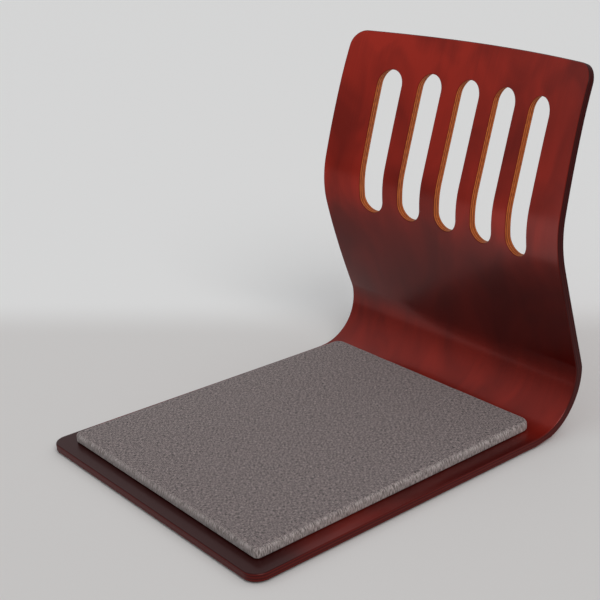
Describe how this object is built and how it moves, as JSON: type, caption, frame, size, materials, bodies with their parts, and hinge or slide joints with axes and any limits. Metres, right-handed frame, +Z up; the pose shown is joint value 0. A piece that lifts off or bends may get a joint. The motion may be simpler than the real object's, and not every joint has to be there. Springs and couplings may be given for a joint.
{
  "type": "floor chair",
  "caption": "Legless floor chair: a moulded plywood shell with a slotted, hollowed backrest and a thin fabric seat pad.",
  "frame": {"origin": "the middle of the chair's bounding box at its base, on the floor under the felt discs", "axes": "+Z up; the chair faces -Y, so the seat's front edge is at -Y and the back leans towards +Y; +X is to the sitter's left"},
  "size_m": [0.4, 0.5053, 0.3989],
  "materials": {
    "stained_face_veneer": "satin lacquer over mahogany stain",
    "core_plywood": "satin lacquer on cut plies",
    "stained_back_veneer": "satin lacquer over mahogany stain",
    "woven_fabric": "matt heathered weave",
    "foam": "open-cell foam",
    "board": "unfinished thin plywood",
    "steel_wire": "bright wire",
    "zinc_plated_steel": "zinc plate",
    "felt": "pressed felt"
  },
  "bodies": {
    "root": {"face_veneer": "stained_face_veneer", "plywood_core": "core_plywood", "back_veneer": "stained_back_veneer", "pad_cover": "woven_fabric", "pad_foam": "foam", "pad_board": "board", "pad_staples": "steel_wire", "pad_nuts": "zinc_plated_steel", "pad_screws": "zinc_plated_steel", "floor_glides": "felt"}
  },
  "joints": []
}
